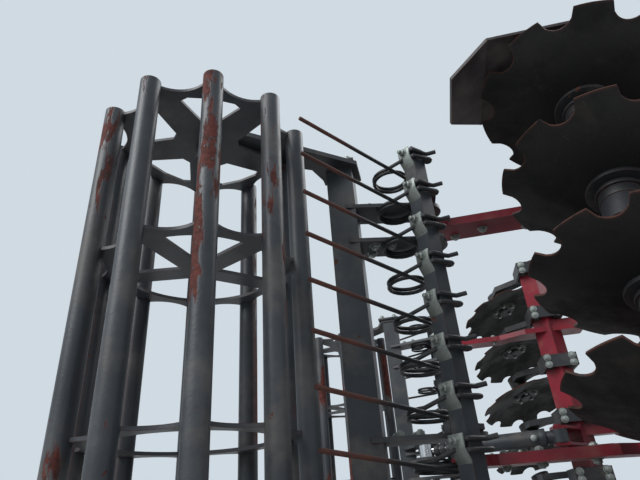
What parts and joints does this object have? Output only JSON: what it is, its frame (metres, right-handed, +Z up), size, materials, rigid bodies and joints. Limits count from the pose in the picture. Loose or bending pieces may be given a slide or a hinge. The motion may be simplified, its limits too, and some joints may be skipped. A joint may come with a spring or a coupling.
{
  "type": "disc harrow",
  "caption": "Folding compact disc harrow with notched discs on rubber-sprung arms, spring tines and tube rollers, parked upright on stands.",
  "frame": {"origin": "middle of the footprint on the floor, at mid-length between the roller and the link plates", "axes": "+X forwards towards the tractor, +Y to the left, +Z up"},
  "size_m": [2.9464, 2.6228, 2.6211],
  "materials": {
    "frame_red": "satin",
    "carrier_grey": "satin",
    "disc_steel": "matte",
    "spring_steel": "matte",
    "rod_chrome": "polished",
    "plate_black": "satin"
  },
  "bodies": {
    "centre": {"centre_frame": "frame_red", "headstock": "frame_red"},
    "front_stand_right": {"front_stand_right": "carrier_grey"},
    "wing_right": {"wing_frame_right": "frame_red", "disc_arms_right": "carrier_grey", "side_plate_right": "plate_black"},
    "wing_stand_right": {"wing_stand_right": "carrier_grey"},
    "roller_carrier_right": {"roller_carrier_right": "carrier_grey", "tine_bar_right": "carrier_grey", "tines_right": "spring_steel"},
    "roller_right": {"roller_right": "carrier_grey"},
    "fold_barrel_right": {"fold_barrel_right": "carrier_grey"},
    "fold_rod_right": {"fold_rod_right": "rod_chrome"},
    "depth_barrel_right": {"depth_barrel_right": "carrier_grey"},
    "depth_rod_right": {"depth_rod_right": "rod_chrome"},
    "rear_disc_right_1": {"rear_disc_right_1": "disc_steel"},
    "rear_disc_right_2": {"rear_disc_right_2": "disc_steel"},
    "rear_disc_right_3": {"rear_disc_right_3": "disc_steel"},
    "rear_disc_right_4": {"rear_disc_right_4": "disc_steel"},
    "rear_disc_right_5": {"rear_disc_right_5": "disc_steel"},
    "rear_disc_right_6": {"rear_disc_right_6": "disc_steel"},
    "rear_disc_right_7": {"rear_disc_right_7": "disc_steel"},
    "rear_disc_right_8": {"rear_disc_right_8": "disc_steel"},
    "front_disc_right_1": {"front_disc_right_1": "disc_steel"},
    "front_disc_right_2": {"front_disc_right_2": "disc_steel"},
    "front_disc_right_3": {"front_disc_right_3": "disc_steel"},
    "front_disc_right_4": {"front_disc_right_4": "disc_steel"},
    "front_disc_right_5": {"front_disc_right_5": "disc_steel"},
    "front_disc_right_6": {"front_disc_right_6": "disc_steel"},
    "front_disc_right_7": {"front_disc_right_7": "disc_steel"},
    "front_disc_right_8": {"front_disc_right_8": "disc_steel"},
    "front_stand_left": {"front_stand_left": "carrier_grey"},
    "wing_left": {"wing_frame_left": "frame_red", "disc_arms_left": "carrier_grey", "side_plate_left": "plate_black"},
    "wing_stand_left": {"wing_stand_left": "carrier_grey"},
    "roller_carrier_left": {"roller_carrier_left": "carrier_grey", "tine_bar_left": "carrier_grey", "tines_left": "spring_steel"},
    "roller_left": {"roller_left": "carrier_grey"},
    "fold_barrel_left": {"fold_barrel_left": "carrier_grey"},
    "fold_rod_left": {"fold_rod_left": "rod_chrome"},
    "depth_barrel_left": {"depth_barrel_left": "carrier_grey"},
    "depth_rod_left": {"depth_rod_left": "rod_chrome"},
    "rear_disc_left_1": {"rear_disc_left_1": "disc_steel"},
    "rear_disc_left_2": {"rear_disc_left_2": "disc_steel"},
    "rear_disc_left_3": {"rear_disc_left_3": "disc_steel"},
    "rear_disc_left_4": {"rear_disc_left_4": "disc_steel"},
    "rear_disc_left_5": {"rear_disc_left_5": "disc_steel"},
    "rear_disc_left_6": {"rear_disc_left_6": "disc_steel"},
    "rear_disc_left_7": {"rear_disc_left_7": "disc_steel"},
    "rear_disc_left_8": {"rear_disc_left_8": "disc_steel"},
    "front_disc_left_1": {"front_disc_left_1": "disc_steel"},
    "front_disc_left_2": {"front_disc_left_2": "disc_steel"},
    "front_disc_left_3": {"front_disc_left_3": "disc_steel"},
    "front_disc_left_4": {"front_disc_left_4": "disc_steel"},
    "front_disc_left_5": {"front_disc_left_5": "disc_steel"},
    "front_disc_left_6": {"front_disc_left_6": "disc_steel"},
    "front_disc_left_7": {"front_disc_left_7": "disc_steel"},
    "front_disc_left_8": {"front_disc_left_8": "disc_steel"}
  },
  "joints": [
    {"name": "front_stand_right_slide", "type": "slide", "parent": "centre", "child": "front_stand_right", "axis": [0, 0, 1], "range_m": [0, 0.45]},
    {"name": "wing_fold_right", "type": "hinge", "parent": "centre", "child": "wing_right", "pos_m": [0.085, -0.442, 0.872], "axis": [1, 0, 0], "range_deg": [0, 90]},
    {"name": "wing_stand_right_slide", "type": "slide", "parent": "wing_right", "child": "wing_stand_right", "axis": [0, 0, 1], "range_m": [0, 0.5]},
    {"name": "depth_right", "type": "hinge", "parent": "wing_right", "child": "roller_carrier_right", "pos_m": [-0.637, -0.694, 1.586], "axis": [0, 0, 1], "range_deg": [-19, 0]},
    {"name": "roller_spin_right", "type": "hinge", "parent": "roller_carrier_right", "child": "roller_right", "pos_m": [-1.205, -1.044, 1.43], "axis": [0, 0, 1], "continuous": true},
    {"name": "fold_barrel_right_swing", "type": "hinge", "parent": "centre", "child": "fold_barrel_right", "pos_m": [0.225, 0.14, 1.14], "axis": [1, 0, 0], "range_deg": [-0.52, 0.2]},
    {"name": "fold_rod_right_slide", "type": "slide", "parent": "fold_barrel_right", "child": "fold_rod_right", "axis": [0, -0.96, -0.2801], "range_m": [0, 0.1936]},
    {"name": "depth_barrel_right_swing", "type": "hinge", "parent": "wing_right", "child": "depth_barrel_right", "pos_m": [-0.195, -0.434, 1.38], "axis": [0, 0, 1], "range_deg": [-2.87, 0.1]},
    {"name": "depth_rod_right_slide", "type": "slide", "parent": "depth_barrel_right", "child": "depth_rod_right", "axis": [-0.9793, -0.2026, 0], "range_m": [-0.05943, 0.0005]},
    {"name": "rear_disc_right_1_spin", "type": "hinge", "parent": "wing_right", "child": "rear_disc_right_1", "pos_m": [-0.198, -0.953, 0.649], "axis": [0.2173, 0.2588, 0.9412], "continuous": true},
    {"name": "rear_disc_right_2_spin", "type": "hinge", "parent": "wing_right", "child": "rear_disc_right_2", "pos_m": [-0.198, -0.953, 0.899], "axis": [0.2173, 0.2588, 0.9412], "continuous": true},
    {"name": "rear_disc_right_3_spin", "type": "hinge", "parent": "wing_right", "child": "rear_disc_right_3", "pos_m": [-0.198, -0.953, 1.149], "axis": [0.2173, 0.2588, 0.9412], "continuous": true},
    {"name": "rear_disc_right_4_spin", "type": "hinge", "parent": "wing_right", "child": "rear_disc_right_4", "pos_m": [-0.198, -0.953, 1.399], "axis": [0.2173, 0.2588, 0.9412], "continuous": true},
    {"name": "rear_disc_right_5_spin", "type": "hinge", "parent": "wing_right", "child": "rear_disc_right_5", "pos_m": [-0.198, -0.953, 1.649], "axis": [0.2173, 0.2588, 0.9412], "continuous": true},
    {"name": "rear_disc_right_6_spin", "type": "hinge", "parent": "wing_right", "child": "rear_disc_right_6", "pos_m": [-0.198, -0.953, 1.899], "axis": [0.2173, 0.2588, 0.9412], "continuous": true},
    {"name": "rear_disc_right_7_spin", "type": "hinge", "parent": "wing_right", "child": "rear_disc_right_7", "pos_m": [-0.198, -0.953, 2.149], "axis": [0.2173, 0.2588, 0.9412], "continuous": true},
    {"name": "rear_disc_right_8_spin", "type": "hinge", "parent": "wing_right", "child": "rear_disc_right_8", "pos_m": [-0.198, -0.953, 2.399], "axis": [0.2173, 0.2588, 0.9412], "continuous": true},
    {"name": "front_disc_right_1_spin", "type": "hinge", "parent": "wing_right", "child": "front_disc_right_1", "pos_m": [0.682, -0.953, 0.52], "axis": [0.2173, 0.2588, -0.9412], "continuous": true},
    {"name": "front_disc_right_2_spin", "type": "hinge", "parent": "wing_right", "child": "front_disc_right_2", "pos_m": [0.682, -0.953, 0.77], "axis": [0.2173, 0.2588, -0.9412], "continuous": true},
    {"name": "front_disc_right_3_spin", "type": "hinge", "parent": "wing_right", "child": "front_disc_right_3", "pos_m": [0.682, -0.953, 1.02], "axis": [0.2173, 0.2588, -0.9412], "continuous": true},
    {"name": "front_disc_right_4_spin", "type": "hinge", "parent": "wing_right", "child": "front_disc_right_4", "pos_m": [0.682, -0.953, 1.27], "axis": [0.2173, 0.2588, -0.9412], "continuous": true},
    {"name": "front_disc_right_5_spin", "type": "hinge", "parent": "wing_right", "child": "front_disc_right_5", "pos_m": [0.682, -0.953, 1.52], "axis": [0.2173, 0.2588, -0.9412], "continuous": true},
    {"name": "front_disc_right_6_spin", "type": "hinge", "parent": "wing_right", "child": "front_disc_right_6", "pos_m": [0.682, -0.953, 1.77], "axis": [0.2173, 0.2588, -0.9412], "continuous": true},
    {"name": "front_disc_right_7_spin", "type": "hinge", "parent": "wing_right", "child": "front_disc_right_7", "pos_m": [0.682, -0.953, 2.02], "axis": [0.2173, 0.2588, -0.9412], "continuous": true},
    {"name": "front_disc_right_8_spin", "type": "hinge", "parent": "wing_right", "child": "front_disc_right_8", "pos_m": [0.682, -0.953, 2.27], "axis": [0.2173, 0.2588, -0.9412], "continuous": true},
    {"name": "front_stand_left_slide", "type": "slide", "parent": "centre", "child": "front_stand_left", "axis": [0, 0, 1], "range_m": [0, 0.45]},
    {"name": "wing_fold_left", "type": "hinge", "parent": "centre", "child": "wing_left", "pos_m": [0.085, 0.442, 0.872], "axis": [-1, 0, 0], "range_deg": [0, 90]},
    {"name": "wing_stand_left_slide", "type": "slide", "parent": "wing_left", "child": "wing_stand_left", "axis": [0, 0, 1], "range_m": [0, 0.5]},
    {"name": "depth_left", "type": "hinge", "parent": "wing_left", "child": "roller_carrier_left", "pos_m": [-0.637, 0.694, 1.586], "axis": [0, 0, -1], "range_deg": [-19, 0]},
    {"name": "roller_spin_left", "type": "hinge", "parent": "roller_carrier_left", "child": "roller_left", "pos_m": [-1.205, 1.044, 1.43], "axis": [0, 0, 1], "continuous": true},
    {"name": "fold_barrel_left_swing", "type": "hinge", "parent": "centre", "child": "fold_barrel_left", "pos_m": [0.415, -0.14, 1.14], "axis": [-1, 0, 0], "range_deg": [-0.52, 0.2]},
    {"name": "fold_rod_left_slide", "type": "slide", "parent": "fold_barrel_left", "child": "fold_rod_left", "axis": [0, 0.96, -0.2801], "range_m": [0, 0.1936]},
    {"name": "depth_barrel_left_swing", "type": "hinge", "parent": "wing_left", "child": "depth_barrel_left", "pos_m": [-0.195, 0.434, 1.73], "axis": [0, 0, -1], "range_deg": [-2.87, 0.1]},
    {"name": "depth_rod_left_slide", "type": "slide", "parent": "depth_barrel_left", "child": "depth_rod_left", "axis": [-0.9793, 0.2026, 0], "range_m": [-0.05943, 0.0005]},
    {"name": "rear_disc_left_1_spin", "type": "hinge", "parent": "wing_left", "child": "rear_disc_left_1", "pos_m": [-0.198, 0.953, 0.711], "axis": [0.2173, -0.2588, -0.9412], "continuous": true},
    {"name": "rear_disc_left_2_spin", "type": "hinge", "parent": "wing_left", "child": "rear_disc_left_2", "pos_m": [-0.198, 0.953, 0.961], "axis": [0.2173, -0.2588, -0.9412], "continuous": true},
    {"name": "rear_disc_left_3_spin", "type": "hinge", "parent": "wing_left", "child": "rear_disc_left_3", "pos_m": [-0.198, 0.953, 1.211], "axis": [0.2173, -0.2588, -0.9412], "continuous": true},
    {"name": "rear_disc_left_4_spin", "type": "hinge", "parent": "wing_left", "child": "rear_disc_left_4", "pos_m": [-0.198, 0.953, 1.461], "axis": [0.2173, -0.2588, -0.9412], "continuous": true},
    {"name": "rear_disc_left_5_spin", "type": "hinge", "parent": "wing_left", "child": "rear_disc_left_5", "pos_m": [-0.198, 0.953, 1.711], "axis": [0.2173, -0.2588, -0.9412], "continuous": true},
    {"name": "rear_disc_left_6_spin", "type": "hinge", "parent": "wing_left", "child": "rear_disc_left_6", "pos_m": [-0.198, 0.953, 1.961], "axis": [0.2173, -0.2588, -0.9412], "continuous": true},
    {"name": "rear_disc_left_7_spin", "type": "hinge", "parent": "wing_left", "child": "rear_disc_left_7", "pos_m": [-0.198, 0.953, 2.211], "axis": [0.2173, -0.2588, -0.9412], "continuous": true},
    {"name": "rear_disc_left_8_spin", "type": "hinge", "parent": "wing_left", "child": "rear_disc_left_8", "pos_m": [-0.198, 0.953, 2.461], "axis": [0.2173, -0.2588, -0.9412], "continuous": true},
    {"name": "front_disc_left_1_spin", "type": "hinge", "parent": "wing_left", "child": "front_disc_left_1", "pos_m": [0.682, 0.953, 0.59], "axis": [0.2173, -0.2588, 0.9412], "continuous": true},
    {"name": "front_disc_left_2_spin", "type": "hinge", "parent": "wing_left", "child": "front_disc_left_2", "pos_m": [0.682, 0.953, 0.84], "axis": [0.2173, -0.2588, 0.9412], "continuous": true},
    {"name": "front_disc_left_3_spin", "type": "hinge", "parent": "wing_left", "child": "front_disc_left_3", "pos_m": [0.682, 0.953, 1.09], "axis": [0.2173, -0.2588, 0.9412], "continuous": true},
    {"name": "front_disc_left_4_spin", "type": "hinge", "parent": "wing_left", "child": "front_disc_left_4", "pos_m": [0.682, 0.953, 1.34], "axis": [0.2173, -0.2588, 0.9412], "continuous": true},
    {"name": "front_disc_left_5_spin", "type": "hinge", "parent": "wing_left", "child": "front_disc_left_5", "pos_m": [0.682, 0.953, 1.59], "axis": [0.2173, -0.2588, 0.9412], "continuous": true},
    {"name": "front_disc_left_6_spin", "type": "hinge", "parent": "wing_left", "child": "front_disc_left_6", "pos_m": [0.682, 0.953, 1.84], "axis": [0.2173, -0.2588, 0.9412], "continuous": true},
    {"name": "front_disc_left_7_spin", "type": "hinge", "parent": "wing_left", "child": "front_disc_left_7", "pos_m": [0.682, 0.953, 2.09], "axis": [0.2173, -0.2588, 0.9412], "continuous": true},
    {"name": "front_disc_left_8_spin", "type": "hinge", "parent": "wing_left", "child": "front_disc_left_8", "pos_m": [0.682, 0.953, 2.34], "axis": [0.2173, -0.2588, 0.9412], "continuous": true}
  ],
  "couplings": [
    {"joint": "fold_barrel_right_swing", "follows": "wing_fold_right", "ratio": -0.003593},
    {"joint": "fold_rod_right_slide", "follows": "wing_fold_right", "m_per_rad": 0.12259},
    {"joint": "depth_barrel_right_swing", "follows": "depth_right", "ratio": 0.14576},
    {"joint": "depth_rod_right_slide", "follows": "depth_right", "m_per_rad": 0.17771},
    {"joint": "fold_barrel_left_swing", "follows": "wing_fold_left", "ratio": -0.003593},
    {"joint": "fold_rod_left_slide", "follows": "wing_fold_left", "m_per_rad": 0.12259},
    {"joint": "depth_barrel_left_swing", "follows": "depth_left", "ratio": 0.14576},
    {"joint": "depth_rod_left_slide", "follows": "depth_left", "m_per_rad": 0.17771}
  ]
}
